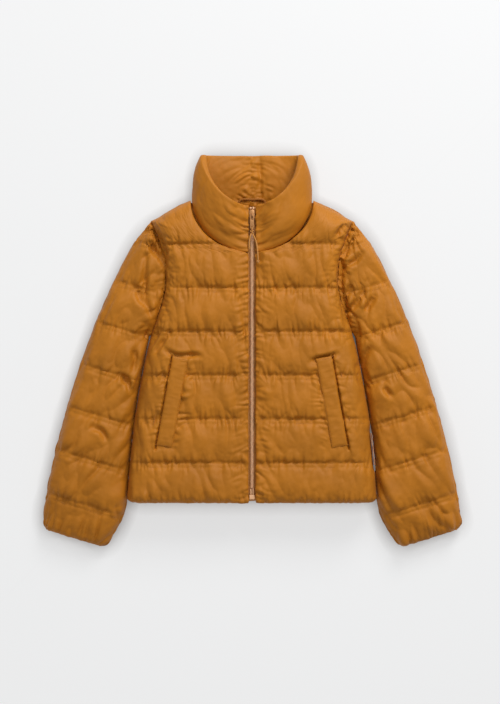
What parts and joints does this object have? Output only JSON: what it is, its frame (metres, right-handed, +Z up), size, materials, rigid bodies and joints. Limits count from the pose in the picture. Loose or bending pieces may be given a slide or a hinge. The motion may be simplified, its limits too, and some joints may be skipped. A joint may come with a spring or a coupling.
{
  "type": "quilted puffer jacket",
  "caption": "Short quilted padded jacket with a funnel collar and set-in sleeves, laid flat on its back with the front zip closed.",
  "frame": {"origin": "middle of the footprint, on the surface the jacket lies on", "axes": "+X towards the wearer's left sleeve, +Y towards the collar, +Z up out of the front"},
  "size_m": [0.8234, 0.7832, 0.0881],
  "materials": {
    "shell_cloth": "plain mustard taffeta",
    "lining_cloth": "plain mustard lining",
    "fill_wadding": "white wadding",
    "rib_cloth": "elastic binding",
    "zip_tape_cloth": "woven tape",
    "zip_teeth_plastic": "tan moulded coil",
    "zip_metal": "mustard painted",
    "cord_cloth": "braided cord",
    "label_satin": "blank satin"
  },
  "bodies": {
    "jacket": {"left_front_shell": "shell_cloth", "left_front_fill": "fill_wadding", "left_front_lining": "lining_cloth", "left_front_hem_band": "shell_cloth", "left_pocket_welt": "shell_cloth", "left_pocket_bag": "lining_cloth", "left_zip_tape": "zip_tape_cloth", "left_zip_teeth": "zip_teeth_plastic", "left_zip_top_stop": "zip_teeth_plastic", "right_front_shell": "shell_cloth", "right_front_fill": "fill_wadding", "right_front_lining": "lining_cloth", "right_front_hem_band": "shell_cloth", "right_pocket_welt": "shell_cloth", "right_pocket_bag": "lining_cloth", "right_zip_tape": "zip_tape_cloth", "right_zip_teeth": "zip_teeth_plastic", "right_zip_top_stop": "zip_teeth_plastic", "back_shell": "shell_cloth", "back_fill": "fill_wadding", "back_lining": "lining_cloth", "back_hem_band": "shell_cloth", "collar_shell": "shell_cloth", "collar_fill": "fill_wadding", "collar_lining": "lining_cloth", "zip_insertion_pin": "zip_teeth_plastic", "zip_box_pin": "zip_teeth_plastic", "zip_retainer_box": "zip_teeth_plastic", "side_label": "label_satin"},
    "slider": {"zip_slider": "zip_metal"},
    "pull": {"zip_pull": "zip_metal", "pull_knot": "cord_cloth", "pull_cord_long": "cord_cloth", "pull_cord_short": "cord_cloth", "pull_cord_tip": "cord_cloth"},
    "left_sleeve": {"left_sleeve_upper_shell": "shell_cloth", "left_sleeve_upper_fill": "fill_wadding", "left_sleeve_upper_lining": "lining_cloth", "left_sleeve_under_shell": "shell_cloth", "left_sleeve_under_fill": "fill_wadding", "left_sleeve_under_lining": "lining_cloth", "left_cuff_binding": "rib_cloth", "left_cuff_elastic": "fill_wadding"},
    "right_sleeve": {"right_sleeve_upper_shell": "shell_cloth", "right_sleeve_upper_fill": "fill_wadding", "right_sleeve_upper_lining": "lining_cloth", "right_sleeve_under_shell": "shell_cloth", "right_sleeve_under_fill": "fill_wadding", "right_sleeve_under_lining": "lining_cloth", "right_cuff_binding": "rib_cloth", "right_cuff_elastic": "fill_wadding"},
    "loop": {"hanger_loop": "rib_cloth"}
  },
  "joints": [
    {"name": "slider_run", "type": "slide", "parent": "jacket", "child": "slider", "axis": [0, -1, 0], "range_m": [0, 0.54]},
    {"name": "pull_flip", "type": "hinge", "parent": "slider", "child": "pull", "pos_m": [0, 0.26625, 0.07712], "axis": [-1, 0, 0], "range_deg": [0, 160]},
    {"name": "left_sleeve_swing", "type": "hinge", "parent": "jacket", "child": "left_sleeve", "pos_m": [0.207, 0.26565, 0.03], "axis": [0, 0, 1], "range_deg": [0, 30]},
    {"name": "right_sleeve_swing", "type": "hinge", "parent": "jacket", "child": "right_sleeve", "pos_m": [-0.207, 0.26565, 0.03], "axis": [0, 0, -1], "range_deg": [0, 30]},
    {"name": "hanger_loop_lift", "type": "hinge", "parent": "jacket", "child": "loop", "pos_m": [0, 0.28765, 0.01792], "axis": [1, 0, 0], "range_deg": [0, 90]}
  ]
}
